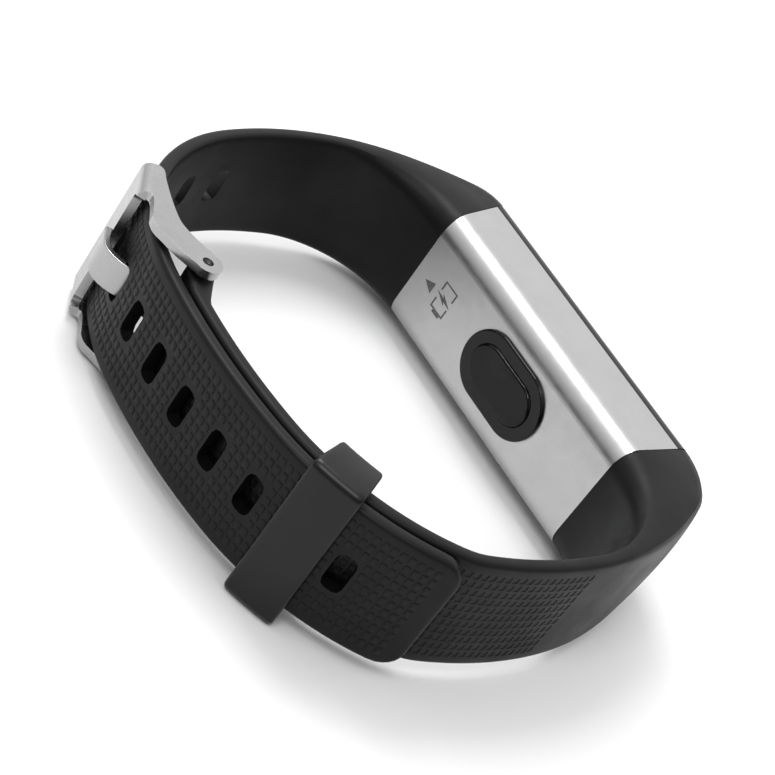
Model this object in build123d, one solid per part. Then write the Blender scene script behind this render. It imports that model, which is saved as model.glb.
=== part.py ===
from build123d import *
import math
import os

os.makedirs("parts", exist_ok=True)

# Fitness tracker band lying on its side edge, strap closed in a loop.
# +X runs along the case to its charging end, -Y is the display side,
# +Y is the skin side and the buckle, +Z goes across the band's width.

# ---------------------------------------------------------------- band
BAND_Z = 10.0            # height of the band's centre line
STRAP_W = 16.0           # strap width
STRAP_T = 1.7            # strap thickness
LAYER_STEP = 2.15        # tail's outer face to the outer face of the layer under it
EDGE_OUT = 0.6           # rounding of the strap's outer edges
EDGE_IN = 0.5            # rounding of the strap's inner edges

# Loop as seen along Z: tangent arcs as (radius, turn in degrees).
KEEPER_CENTRE = (-6.23, -1.01)
KEEPER_ARC_R = 32.58
TAIL_TIP_DEG = 146.6
TAIL_ARC = (KEEPER_ARC_R, -45.84)
CREST_ARC = (70.09, -17.8)
SHOULDER_ARC = (28.18, -72.4)
SIDE_ARC_R = 54.86
SIDE_TURN = -16.0
UPPER_HEAD_OUTER = ((SIDE_ARC_R, -25.99), (5.0, -56.57))
UPPER_HEAD_INNER_R = 13.56
UPPER_HEAD_INNER_TURN = -76.56
LOWER_BEND = (9.11, 19.58)
LOWER_SIDE_R = 56.34
LOWER_SIDE_TURN = 18.0
LOWER_HEAD_OUTER = ((LOWER_SIDE_R, 23.79), (10.0, 60.63))
LOWER_HEAD_INNER_R = 15.43
LOWER_HEAD_INNER_TURN = 78.42
LAYER_END_DEG = 146.0    # where the inner layer leaves the keeper arc

# ---------------------------------------------------------------- slots
SLOT_COUNT = 13
SLOT_FIRST = 11.07       # tail tip to the first slot's centre
SLOT_PITCH = 6.2
SLOT_LONG = 5.0          # across the strap
SLOT_SHORT = 2.6         # along the strap
TIP_CORNER_R = 3.0

# ---------------------------------------------------------------- case
CASE_W = 17.0
FRONT_Y = -32.15         # crown of the display side
BACK_Y = -18.6           # flat skin side
LIP_Y = -29.6            # back of the front glass, where it sits on the frame
SKIRT_Y = -28.4          # where the glass's turned-down sides meet the metal cover
CROWN_DROP = 1.0         # how far the crown falls towards its edges
LENS_EDGE_R = 2.2
BACK_EDGE_R = 3.0
UPPER_SEAM_X = (22.40, 19.10)     # at the front and at the back
LOWER_SEAM_X = (-19.66, -19.30)
COVER_T = 0.9
LENS_T = 1.6             # front glass at its crown
FIT = 0.1                # gap between stacked case pieces
INNER_BACK_Y = BACK_Y - COVER_T
DECK_FRONT_Y = -28.9     # frame's deck under the display
DECK_BACK_Y = -28.1
BOARD_Y = -27.9          # front of the main board
BOARD_T = 0.8
POCKET_X = (-17.6, 19.2) # display pocket
WINDOW_X = -1.1          # middle of the pulse sensor
BEZEL = (15.2, 9.4)      # pulse sensor outlines, long and wide
BEZEL_NECK = (13.2, 7.4)
BEZEL_OPENING = (11.8, 6.0)
WINDOW = (11.6, 5.8)
BEZEL_RISE = 0.45        # above the cover
WINDOW_RISE = 0.75
PLUG_FROM_X = 17.2       # charging tongue, hidden in the upper strap head
PLUG_TO_X = 27.6
PLUG_Y = -25.2
PLUG_T = 2.1
PLUG_HALF_Z = 6.0
CONTACT = (5.4, 0.08, 1.1)
CONTACT_X = 24.2
CONTACT_Z = (-3.5, -1.2, 1.2, 3.5)
PLUG_ROOM = 0.2          # socket in the strap head, larger than the tongue all round
TENON_FROM_X = -25.0     # tenon that holds the lower strap head
TENON_TO_X = -17.0
TENON_Y = -24.2
TENON_T = 5.0
TENON_HALF_Z = 4.5

# ---------------------------------------------------------------- printed mark
MARK_T = 0.04
MARK_LINE = 0.2
MARK_GAP = 1.3           # break in the battery's outline where the bolt crosses it
MARK_CELL_X = 13.0
MARK_CELL_W = 2.6
MARK_CELL_Z = (-1.8, 2.3)
MARK_ARROW = ((17.1, -0.1), (15.4, 0.7), (15.4, -0.9))
MARK_BOLT = (
    (14.6, 0.45), (12.7, -0.35), (13.0, 0.05), (11.6, -0.05), (13.5, 0.75), (13.2, 0.35),
)

# ---------------------------------------------------------------- buckle
PIN_XY = (9.30, 27.00)
PIN_R = 0.60
EYE_BORE_R = 0.65
PIN_L = 17.6
LUG_R = 1.7
LUG_SLOT_W = 4.8
LUG_SLOT_R = 2.05        # how far the tongue's notch reaches from the pin
FRAME_IN = 8.3           # inner half width between the side plates
FRAME_OUT = 9.5
EYE_R = 1.8
EYE_DEGREES = (115, 145, 175, 205, 235, 265, 290)
# Outline of a side plate from its eye along the skin side, round the bar's end and back.
ARM_INNER = ((11.0, 25.8), (12.4, 26.4), (14.1, 26.95), (15.9, 27.1), (19.1, 26.35), (22.0, 25.4))
ARM_END = ((24.0, 24.8), (24.95, 25.1), (25.15, 26.15))
ARM_OUTER = (
    (23.0, 27.55), (20.8, 28.8), (19.6, 28.75), (18.6, 29.1), (17.0, 30.05), (15.9, 30.7),
    (14.6, 30.9), (13.2, 30.4), (11.2, 29.8),
)
BAR_GAP = 0.45           # strap to cross bar
BAR_T = 1.0
BAR_FROM_DEG = 49.4
BAR_TO_DEG = 59.4
BAR_EDGE_R = 0.3
PLATE_BEVEL = 0.2
TONGUE_W = 4.2
TONGUE_T = 0.9
TONGUE_EYE_R = 1.6
# Middle of the bent tongue: from its eye, up through a slot, over to the cross bar.
TONGUE_PATH = (
    (10.6, 27.15), (12.9, 27.35), (14.55, 28.3), (15.75, 29.55), (17.0, 30.4), (18.2, 30.85),
    (19.2, 30.85), (20.2, 30.4), (21.3, 29.7), (22.3, 29.05),
)

# ---------------------------------------------------------------- keeper
KEEPER_AT_DEG = 117.4
KEEPER_HALF_L = 3.0
KEEPER_HALF_W = 10.0
KEEPER_CLEAR = 0.3
KEEPER_WALL = 1.05
KEEPER_EDGE_R = 0.9

Z_AXIS = (0, 0, 1)


# ================================================================ helpers
def polar(centre, radius, degrees):
    angle = math.radians(degrees)
    return (centre[0] + radius * math.cos(angle), centre[1] + radius * math.sin(angle))


def along_arc(x, y, heading, radius, turn):
    """End point and heading after a tangent arc."""
    side = 1 if turn > 0 else -1
    start = math.radians(heading)
    end = math.radians(heading + turn)
    cx = x - side * radius * math.sin(start)
    cy = y + side * radius * math.cos(start)
    return (
        cx + side * radius * math.sin(end),
        cy - side * radius * math.cos(end),
        heading + turn,
    )


def arc_centre(x, y, heading, radius, turn):
    side = 1 if turn > 0 else -1
    start = math.radians(heading)
    return (x - side * radius * math.sin(start), y + side * radius * math.cos(start))


def after(start, arcs):
    """Position and heading at the end of a chain of arcs."""
    here = start
    for radius, turn in arcs:
        here = along_arc(*here, radius, turn)
    return here


def at_length(start, arcs, length):
    """Position and heading at an arc length along the chain."""
    here = start
    for radius, turn in arcs:
        span = radius * math.radians(abs(turn))
        if length <= span:
            part = math.degrees(length / radius) * (1 if turn > 0 else -1)
            return along_arc(*here, radius, part)
        here = along_arc(*here, radius, turn)
        length -= span
    return here


def chain_length(arcs):
    return sum(radius * math.radians(abs(turn)) for radius, turn in arcs)


def band_outline(width, depth, drop, r_out, r_in):
    """Section across the band: x goes inwards from the crown, y across the width."""
    w = width / 2
    v = w - r_out
    diag = 1 - math.sqrt(0.5)
    low = [
        (drop, v),
        (0, 0),
        (drop, -v),
        (drop + r_out * diag, -(v + r_out * (1 - diag))),
        (drop + r_out, -w),
        (depth - r_in, -w),
        (depth - r_in * diag, -(w - r_in * diag)),
        (depth, -(w - r_in)),
        (depth, w - r_in),
        (depth - r_in * diag, w - r_in * diag),
        (depth - r_in, w),
        (drop + r_out, w),
        (drop + r_out * diag, v + r_out * (1 - diag)),
    ]
    if drop > 0:
        crown = ThreePointArc(low[0], low[1], low[2])
    else:
        crown = Line(low[0], low[2])
    edges = [
        crown,
        ThreePointArc(low[2], low[3], low[4]),
        Line(low[4], low[5]),
        ThreePointArc(low[5], low[6], low[7]),
        Line(low[7], low[8]),
        ThreePointArc(low[8], low[9], low[10]),
        Line(low[10], low[11]),
        ThreePointArc(low[11], low[12], low[0]),
    ]
    return Face(Wire(edges))


def across(outer, inner):
    """Plane through the band from its outer face to its inner face."""
    direction = (inner[0] - outer[0], inner[1] - outer[1], 0)
    normal = (-direction[1], direction[0], 0)
    return Plane(origin=(outer[0], outer[1], BAND_Z), x_dir=direction, z_dir=normal)


def strap_plane(here, side):
    """Plane across the strap at a position and heading; side is where inside lies."""
    x, y, heading = here
    angle = math.radians(heading + 90 * side)
    return across((x, y), (x + math.cos(angle), y + math.sin(angle)))


def strap_run(start, arcs, side):
    """Plain strap along a chain of arcs, one revolved piece per arc."""
    body = None
    here = start
    for radius, turn in arcs:
        section = strap_plane(here, side) * band_outline(STRAP_W, STRAP_T, 0, EDGE_OUT, EDGE_IN)
        cx, cy = arc_centre(*here, radius, turn)
        spin = Axis((cx, cy, 0), (0, 0, 1 if turn > 0 else -1))
        piece = revolve(section, spin, abs(turn))
        body = piece if body is None else body + piece
        here = along_arc(*here, radius, turn)
    return body


def prism(points, z_from, z_to):
    face = make_face(Polyline(*points, close=True))
    return Pos(0, 0, z_from) * extrude(face, z_to - z_from)


def block(x_from, x_to, y_from, y_to, half_z, edge_r=0.0):
    """Box centred on the band's width, with its four X edges rounded."""
    body = Pos((x_from + x_to) / 2, (y_from + y_to) / 2, BAND_Z) * Box(
        x_to - x_from, y_to - y_from, 2 * half_z
    )
    if edge_r > 0:
        body = fillet(body.edges().filter_by(Axis.X), edge_r)
    return body


def plate(x_from, x_to, y_from, y_to, half_z, corner_r):
    """Thin plate in the X-Z plane with rounded corners."""
    body = block(x_from, x_to, y_from, y_to, half_z)
    return fillet(body.edges().filter_by(Axis.Y), corner_r)


def back_stadium(centre_x, length, width, y_from, y_to):
    """Stadium prism standing on the back of the case."""
    face = Plane(origin=(centre_x, y_from, BAND_Z), x_dir=(1, 0, 0), z_dir=(0, 1, 0))
    return extrude(face * SlotOverall(length, width), y_to - y_from)


def save(shape, name):
    export_step(shape, f"parts/{name}.step")


# ================================================================ loop
TAIL_START = (*polar(KEEPER_CENTRE, KEEPER_ARC_R, TAIL_TIP_DEG), TAIL_TIP_DEG - 90)
HOLE_ARCS = (TAIL_ARC, CREST_ARC, SHOULDER_ARC, (SIDE_ARC_R, SIDE_TURN))
UPPER_JOIN = after(TAIL_START, HOLE_ARCS)
SHOULDER_START = after(TAIL_START, (TAIL_ARC, CREST_ARC))
SHOULDER_CENTRE = arc_centre(*SHOULDER_START, *SHOULDER_ARC)
CREST_START = after(TAIL_START, (TAIL_ARC,))
CREST_CENTRE = arc_centre(*CREST_START, *CREST_ARC)


# ================================================================ straps
def head(join, side, outer_arcs, inner_r, inner_turn, seam):
    """Strap head: the plain strap grows into the case's own section."""
    x, y, heading = join
    angle = math.radians(heading + 90 * side)
    inner = (x + STRAP_T * math.cos(angle), y + STRAP_T * math.sin(angle), heading)
    outer_len = chain_length(outer_arcs)
    inner_arc_len = inner_r * math.radians(abs(inner_turn))
    inner_end = along_arc(*inner, inner_r, inner_turn)
    seam_front = (seam[0], FRONT_Y)
    seam_back = (seam[1], BACK_Y)
    line_len = math.dist(inner_end[:2], seam_back)
    inner_len = inner_arc_len + line_len
    sections = []
    for step in (0.0, 0.14, 0.28, 0.42, 0.56, 0.70, 0.80, 0.90, 1.0):
        out_pt = at_length(join, outer_arcs, step * outer_len)
        run = step * inner_len
        if run <= inner_arc_len:
            in_pt = at_length(inner, ((inner_r, inner_turn),), run)
        else:
            share = (run - inner_arc_len) / line_len
            in_pt = (
                inner_end[0] + share * (seam_back[0] - inner_end[0]),
                inner_end[1] + share * (seam_back[1] - inner_end[1]),
            )
        if step == 1.0:
            out_pt = seam_front
            in_pt = seam_back
        depth = math.dist(out_pt[:2], in_pt[:2])
        grow = step * step * (3 - 2 * step)
        section = band_outline(
            STRAP_W + (CASE_W - STRAP_W) * grow,
            depth,
            CROWN_DROP * grow,
            EDGE_OUT + (LENS_EDGE_R - EDGE_OUT) * grow,
            EDGE_IN + (BACK_EDGE_R - EDGE_IN) * grow,
        )
        sections.append(across(out_pt, in_pt) * section)
    return loft(sections)


def slot_cutter(length):
    """Rounded slot through the hole strap at an arc length from its tip."""
    x, y, heading = at_length(TAIL_START, HOLE_ARCS, length)
    out = math.radians(heading + 90)
    plane = Plane(
        origin=(x - 3 * math.cos(out), y - 3 * math.sin(out), BAND_Z),
        x_dir=Z_AXIS,
        z_dir=(math.cos(out), math.sin(out), 0),
    )
    return extrude(plane * RectangleRounded(SLOT_LONG, SLOT_SHORT, 1.1), 6)


def tip_cutters():
    """Waste outside the two rounded corners of the tail's tip."""
    x, y, heading = TAIL_START
    out = math.radians(heading + 90)
    ahead = math.radians(heading)
    cx = x + TIP_CORNER_R * math.cos(ahead) - 3 * math.cos(out)
    cy = y + TIP_CORNER_R * math.sin(ahead) - 3 * math.sin(out)
    plane = Plane(
        origin=(cx, cy, BAND_Z),
        x_dir=Z_AXIS,
        z_dir=(math.cos(out), math.sin(out), 0),
    )
    half = STRAP_W / 2 - TIP_CORNER_R
    waste = Rectangle(STRAP_W + 4, TIP_CORNER_R + 1, align=(Align.CENTER, Align.MAX))
    waste = waste - Pos(half, 0) * Circle(TIP_CORNER_R)
    waste = waste - Pos(-half, 0) * Circle(TIP_CORNER_R)
    waste = waste - Rectangle(2 * half, TIP_CORNER_R + 1, align=(Align.CENTER, Align.MAX))
    return extrude(plane * waste, 6)


def make_hole_strap():
    body = strap_run(TAIL_START, HOLE_ARCS, -1)
    body += head(
        UPPER_JOIN, -1, UPPER_HEAD_OUTER, UPPER_HEAD_INNER_R, UPPER_HEAD_INNER_TURN, UPPER_SEAM_X
    )
    for index in range(SLOT_COUNT):
        body -= slot_cutter(SLOT_FIRST + index * SLOT_PITCH)
    body -= tip_cutters()
    half_t = PLUG_T / 2 + PLUG_ROOM
    return body - block(
        PLUG_FROM_X, PLUG_TO_X + PLUG_ROOM, PLUG_Y - half_t, PLUG_Y + half_t, PLUG_HALF_Z + PLUG_ROOM
    )


def make_buckle_strap():
    pin_deg = math.degrees(
        math.atan2(PIN_XY[1] - CREST_CENTRE[1], PIN_XY[0] - CREST_CENTRE[0])
    )
    crest_r = CREST_ARC[0] - LAYER_STEP
    start = (*polar(CREST_CENTRE, crest_r, pin_deg), pin_deg + 90)
    crest_deg = TAIL_TIP_DEG + TAIL_ARC[1]
    inner_r = KEEPER_ARC_R - LAYER_STEP
    arcs = (
        (crest_r, crest_deg - pin_deg),
        (inner_r, LAYER_END_DEG - crest_deg),
        LOWER_BEND,
        (LOWER_SIDE_R, LOWER_SIDE_TURN),
    )
    body = strap_run(start, arcs, 1)
    join = after(start, arcs)
    body += head(
        join, 1, LOWER_HEAD_OUTER, LOWER_HEAD_INNER_R, LOWER_HEAD_INNER_TURN, LOWER_SEAM_X
    )
    lug = Pos(PIN_XY[0], PIN_XY[1], BAND_Z) * Cylinder(LUG_R, STRAP_W)
    root = polar(CREST_CENTRE, crest_r - STRAP_T, pin_deg + 4.0)
    rise = polar(CREST_CENTRE, crest_r - 0.4, pin_deg + 4.0)
    top = polar(CREST_CENTRE, crest_r - 0.35, pin_deg)
    fill = prism(
        [root, rise, top, PIN_XY, polar(PIN_XY, LUG_R, 225)],
        BAND_Z - STRAP_W / 2,
        BAND_Z + STRAP_W / 2,
    )
    body += lug + fill
    body -= Pos(PIN_XY[0], PIN_XY[1], BAND_Z) * Cylinder(PIN_R, STRAP_W + 1)
    body -= Pos(PIN_XY[0], PIN_XY[1], BAND_Z) * Cylinder(LUG_SLOT_R, LUG_SLOT_W)
    tenon = block(
        TENON_FROM_X - 0.2, TENON_TO_X, TENON_Y - TENON_T / 2 - 0.1, TENON_Y + TENON_T / 2 + 0.1,
        TENON_HALF_Z + 0.1,
    )
    return body - tenon


# ================================================================ case
def seam_prism(inset=0.0):
    """The space between the two seams."""
    slope_up = (UPPER_SEAM_X[0] - UPPER_SEAM_X[1]) / (BACK_Y - FRONT_Y)
    slope_low = (LOWER_SEAM_X[0] - LOWER_SEAM_X[1]) / (BACK_Y - FRONT_Y)
    y_low = FRONT_Y - 2
    y_high = BACK_Y + 2
    points = [
        (LOWER_SEAM_X[0] + 2 * slope_low + inset, y_low),
        (UPPER_SEAM_X[0] + 2 * slope_up - inset, y_low),
        (UPPER_SEAM_X[1] - 2 * slope_up - inset, y_high),
        (LOWER_SEAM_X[1] - 2 * slope_low + inset, y_high),
    ]
    return prism(points, BAND_Z - CASE_W, BAND_Z + CASE_W)


def case_envelope(offset, inset=0.0):
    """Solid of the case's outside, shrunk by an offset, between the seams."""
    section = band_outline(
        CASE_W - 2 * offset,
        BACK_Y - FRONT_Y - 2 * offset,
        CROWN_DROP,
        LENS_EDGE_R - 0.5 * offset,
        BACK_EDGE_R - offset,
    )
    plane = Plane(origin=(-30, FRONT_Y + offset, BAND_Z), x_dir=(0, 1, 0), z_dir=(1, 0, 0))
    return extrude(plane * section, 60) & seam_prism(inset)


def half_space(y_from, y_to):
    return Pos(0, (y_from + y_to) / 2, BAND_Z) * Box(80, y_to - y_from, 40)


def case_shell():
    """Wall of the case, open at both seams."""
    return case_envelope(0) - case_envelope(COVER_T, -5)


def make_back_cover():
    body = case_shell() & half_space(SKIRT_Y, BACK_Y + 5)
    return body - back_stadium(WINDOW_X, 13.4, 7.6, BACK_Y - 3, BACK_Y + 3)


def make_front_lens():
    """Front glass whose two long sides turn down beside the frame to the cover."""
    body = case_envelope(0) & half_space(FRONT_Y - 2, LIP_Y - FIT)
    body += case_shell() & half_space(LIP_Y - FIT, SKIRT_Y - FIT)
    return body - plate(*POCKET_X, FRONT_Y + LENS_T, LIP_Y, 6.2, 1.5)


def make_mid_frame():
    body = case_envelope(COVER_T + FIT) & half_space(LIP_Y, BACK_Y)
    body -= plate(*POCKET_X, LIP_Y - 1, DECK_FRONT_Y, 6.4, 1.5)
    body -= block(-18.0, 17.4, DECK_BACK_Y, BACK_Y, 6.5)
    half_t = TENON_T / 2
    body += block(
        TENON_FROM_X, TENON_TO_X - 1.0, TENON_Y - half_t, TENON_Y + half_t, TENON_HALF_Z, 0.6
    )
    half_t = PLUG_T / 2 + FIT
    return body - block(
        PLUG_FROM_X - 1, PLUG_TO_X, PLUG_Y - half_t, PLUG_Y + half_t, PLUG_HALF_Z + FIT / 2
    )


def make_lens_adhesive():
    ring = plate(-18.6, 20.6, LIP_Y - FIT + 0.02, LIP_Y - 0.01, 7.1, 1.6)
    return ring - plate(*POCKET_X, LIP_Y - 1, LIP_Y + 1, 6.4, 1.4)


def make_display():
    glass = plate(-14.0, 18.6, FRONT_Y + LENS_T + 0.05, FRONT_Y + LENS_T + 0.75, 6.0, 0.8)
    backing = plate(-12.0, 18.2, FRONT_Y + LENS_T + 0.75, DECK_FRONT_Y - FIT, 5.7, 0.6)
    return glass + backing


def make_touch_pad():
    turn = Rot(90, 0, 0)
    return Pos(-15.9, FRONT_Y + LENS_T + 0.2, BAND_Z) * turn * Cylinder(1.4, 0.3)


def make_main_board():
    body = plate(-17.6, 16.8, BOARD_Y, BOARD_Y + BOARD_T, 6.2, 0.8)
    for x in (-16.2, 15.4):
        body -= Pos(x, BOARD_Y + BOARD_T / 2, BAND_Z + 4.8) * Rot(90, 0, 0) * Cylinder(0.6, 2)
    return body


def chip(x, z, length, width, height):
    """Chip on the skin side of the main board."""
    y = BOARD_Y + BOARD_T + height / 2
    body = Pos(x, y, BAND_Z + z) * Box(length, height, width)
    return chamfer(body.faces().sort_by(Axis.Y)[-1].edges(), 0.12)


def make_battery():
    pouch = block(-14.2, 6.6, -26.0, -22.1, 5.6, 1.2)
    tab = block(6.6, 8.0, -25.9, -25.2, 4.4)
    return pouch + tab


def make_motor():
    return Pos(12.6, -24.6, BAND_Z) * Rot(90, 0, 0) * Cylinder(4.0, 2.4)


def make_sensor_board():
    return plate(-9.5, 7.3, -21.4, -20.8, 4.2, 0.8)


def make_leds():
    pair = None
    for x in (WINDOW_X + 1.4, WINDOW_X + 3.6):
        die = Pos(x, -20.35, BAND_Z) * Box(1.2, 0.9, 1.2)
        pair = die if pair is None else pair + die
    return pair


def make_photodiode():
    return Pos(WINDOW_X - 1.4, -20.4, BAND_Z) * Box(2.2, 0.8, 2.2)


def make_sensor_bezel():
    flange = back_stadium(WINDOW_X, *BEZEL, BACK_Y, BACK_Y + BEZEL_RISE)
    flange = fillet(flange.faces().sort_by(Axis.Y)[-1].edges(), 0.25)
    neck = back_stadium(WINDOW_X, *BEZEL_NECK, INNER_BACK_Y - 0.2, BACK_Y)
    return flange + neck - back_stadium(WINDOW_X, *BEZEL_OPENING, BACK_Y - 3, BACK_Y + 3)


def make_sensor_window():
    body = back_stadium(WINDOW_X, *WINDOW, INNER_BACK_Y - 0.2, BACK_Y + WINDOW_RISE)
    return fillet(body.faces().sort_by(Axis.Y)[-1].edges(), 0.3)


def make_usb_plug():
    half_t = PLUG_T / 2
    body = block(PLUG_FROM_X, PLUG_TO_X, PLUG_Y - half_t, PLUG_Y + half_t, PLUG_HALF_Z)
    return chamfer(body.faces().sort_by(Axis.X)[-1].edges(), 0.3)


def make_plug_contacts():
    strips = None
    length, thick, width = CONTACT
    for z in CONTACT_Z:
        strip = Pos(CONTACT_X, PLUG_Y + (PLUG_T + thick) / 2, BAND_Z + z) * Box(length, thick, width)
        strips = strip if strips is None else strips + strip
    return strips


def make_charge_mark():
    """Printed arrow, battery outline and bolt, as (x, z) shapes on the skin side."""
    plane = Plane(origin=(0, BACK_Y, BAND_Z), x_dir=(1, 0, 0), z_dir=(0, 1, 0))
    length = MARK_CELL_Z[1] - MARK_CELL_Z[0]
    middle = sum(MARK_CELL_Z) / 2
    cell = Rectangle(MARK_CELL_W, length)
    cell -= Rectangle(MARK_CELL_W - 2 * MARK_LINE, length - 2 * MARK_LINE)
    cell -= Rectangle(2 * MARK_CELL_W, MARK_GAP)
    cell = Pos(MARK_CELL_X, -middle) * cell
    cap = Pos(MARK_CELL_X - 0.1, -MARK_CELL_Z[0] + MARK_LINE) * Rectangle(1.4, 2 * MARK_LINE)
    arrow = make_face(Polyline(*[(x, -z) for x, z in MARK_ARROW], close=True))
    bolt = make_face(Polyline(*[(x, -z) for x, z in MARK_BOLT], close=True))
    mark = extrude(plane * arrow, MARK_T)
    for piece in (cell, cap, bolt):
        mark += extrude(plane * piece, MARK_T)
    return mark


# ================================================================ buckle
def make_pin():
    return Pos(PIN_XY[0], PIN_XY[1], BAND_Z) * Cylinder(PIN_R, PIN_L)


def plate_outline():
    """Side plate of the buckle frame: round eye, bulging arm, end at the cross bar."""
    eye = [polar(PIN_XY, EYE_R, degrees) for degrees in EYE_DEGREES]
    return Face(Wire([Spline(*eye, *ARM_INNER, *ARM_END, *ARM_OUTER, periodic=True)]))


def make_buckle_frame():
    sheet = extrude(plate_outline(), FRAME_OUT - FRAME_IN)
    outer_face = sheet.faces().sort_by(Axis.Z)[-1]
    sheet = chamfer(outer_face.edges(), PLATE_BEVEL)
    upper = Pos(0, 0, BAND_Z + FRAME_IN) * sheet
    lower = Pos(0, 0, BAND_Z - FRAME_IN) * mirror(sheet, Plane.XY)
    r_in = SHOULDER_ARC[0] + BAR_GAP
    r_out = r_in + BAR_T
    corners = [
        polar(SHOULDER_CENTRE, r_in, BAR_FROM_DEG),
        polar(SHOULDER_CENTRE, r_out, BAR_FROM_DEG),
        polar(SHOULDER_CENTRE, r_out, BAR_TO_DEG),
        polar(SHOULDER_CENTRE, r_in, BAR_TO_DEG),
    ]
    mid = (BAR_FROM_DEG + BAR_TO_DEG) / 2
    profile = Face(
        Wire(
            [
                Line(corners[0], corners[1]),
                ThreePointArc(corners[1], polar(SHOULDER_CENTRE, r_out, mid), corners[2]),
                Line(corners[2], corners[3]),
                ThreePointArc(corners[3], polar(SHOULDER_CENTRE, r_in, mid), corners[0]),
            ]
        )
    )
    bar = Pos(0, 0, BAND_Z - FRAME_IN - 0.2) * extrude(profile, 2 * FRAME_IN + 0.4)
    bar = fillet(bar.edges().filter_by(Axis.Z), BAR_EDGE_R)
    body = upper + lower + bar
    return body - Pos(PIN_XY[0], PIN_XY[1], BAND_Z) * Cylinder(EYE_BORE_R, 2 * FRAME_OUT + 2)


def make_tongue():
    """Bent sheet: eye round the pin, up through a slot, over to the cross bar."""
    path = Spline(*TONGUE_PATH)
    half = TONGUE_T / 2
    left = []
    right = []
    count = 24
    for index in range(count + 1):
        spot = path @ (index / count)
        run = path % (index / count)
        left.append((spot.X - half * run.Y, spot.Y + half * run.X))
        right.append((spot.X + half * run.Y, spot.Y - half * run.X))
    edges = [
        Spline(*left),
        ThreePointArc(left[-1], tuple((path @ 1 + (path % 1) * half))[:2], right[-1]),
        Spline(*reversed(right)),
        Line(right[0], left[0]),
    ]
    sheet = extrude(Face(Wire(edges)), TONGUE_W / 2, both=True)
    eye = extrude(Pos(*PIN_XY) * Circle(TONGUE_EYE_R), TONGUE_W / 2, both=True)
    body = Pos(0, 0, BAND_Z) * (sheet + eye)
    return body - Pos(PIN_XY[0], PIN_XY[1], BAND_Z) * Cylinder(EYE_BORE_R, 20)


# ================================================================ keeper
def make_keeper():
    r_in = KEEPER_ARC_R - LAYER_STEP - STRAP_T - KEEPER_CLEAR
    r_out = KEEPER_ARC_R + KEEPER_CLEAR
    shell_in = r_in - KEEPER_WALL
    shell_out = r_out + KEEPER_WALL
    ring = Cylinder(shell_out, 2 * KEEPER_HALF_W) - Cylinder(shell_in, 2 * KEEPER_HALF_W)
    window = Pos((shell_in + shell_out) / 2, 0, 0) * Box(
        2 * (shell_out - shell_in), 2 * KEEPER_HALF_L, 3 * KEEPER_HALF_W
    )
    body = ring & window
    body = fillet(body.edges().filter_by(Axis.Z), 0.5)
    ends = body.edges().group_by(Axis.Z)
    body = fillet(ends[0] + ends[-1], KEEPER_EDGE_R)
    channel = Cylinder(r_out, STRAP_W + 2 * KEEPER_CLEAR)
    channel -= Cylinder(r_in, STRAP_W + 2 * KEEPER_CLEAR)
    body = body - channel
    body = Rot(0, 0, KEEPER_AT_DEG) * body
    return Pos(KEEPER_CENTRE[0], KEEPER_CENTRE[1], BAND_Z) * body


# ================================================================ export
def main():
    pieces = {
        "back_cover": make_back_cover(),
        "front_lens": make_front_lens(),
        "lens_adhesive": make_lens_adhesive(),
        "mid_frame": make_mid_frame(),
        "display_module": make_display(),
        "touch_pad": make_touch_pad(),
        "main_board": make_main_board(),
        "processor": chip(12.4, 1.6, 5.0, 5.0, 0.85),
        "memory_chip": chip(12.8, -3.6, 3.4, 3.0, 0.75),
        "accelerometer": chip(-16.0, -2.0, 2.4, 2.4, 0.9),
        "battery": make_battery(),
        "vibration_motor": make_motor(),
        "sensor_board": make_sensor_board(),
        "sensor_leds": make_leds(),
        "photodiode": make_photodiode(),
        "sensor_bezel": make_sensor_bezel(),
        "sensor_window": make_sensor_window(),
        "usb_plug": make_usb_plug(),
        "plug_contacts": make_plug_contacts(),
        "charge_mark": make_charge_mark(),
        "hole_strap": make_hole_strap(),
        "buckle_strap": make_buckle_strap(),
        "buckle_pin": make_pin(),
        "buckle_frame": make_buckle_frame(),
        "buckle_tongue": make_tongue(),
        "keeper": make_keeper(),
    }
    for name, shape in pieces.items():
        save(shape, name)


main()
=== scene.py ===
import math

import bmesh
import bpy
from mathutils import Matrix, Vector


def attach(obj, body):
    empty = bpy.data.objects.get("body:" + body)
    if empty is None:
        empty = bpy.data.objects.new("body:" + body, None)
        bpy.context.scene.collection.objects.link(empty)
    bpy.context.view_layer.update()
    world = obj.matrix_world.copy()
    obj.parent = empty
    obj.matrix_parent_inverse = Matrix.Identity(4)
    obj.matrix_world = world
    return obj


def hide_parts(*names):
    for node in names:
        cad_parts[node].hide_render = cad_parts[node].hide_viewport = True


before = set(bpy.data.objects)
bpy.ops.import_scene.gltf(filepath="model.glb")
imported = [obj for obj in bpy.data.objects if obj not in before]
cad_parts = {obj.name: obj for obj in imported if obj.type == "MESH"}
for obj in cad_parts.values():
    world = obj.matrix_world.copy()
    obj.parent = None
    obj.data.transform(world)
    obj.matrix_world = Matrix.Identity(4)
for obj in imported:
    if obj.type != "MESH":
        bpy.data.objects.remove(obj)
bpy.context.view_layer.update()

bl_info = {
    "name": "Fitness Tracker Band",
    "version": (1, 0, 0),
    "blender": (4, 5, 0),
    "location": "View3D > Sidebar > Tracker Band",
    "description": "Finishes a fitness tracker band: silicone straps, satin case, buckle and keeper",
    "category": "Object",
}

MM = 0.001
MID_Z = 10.0

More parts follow.
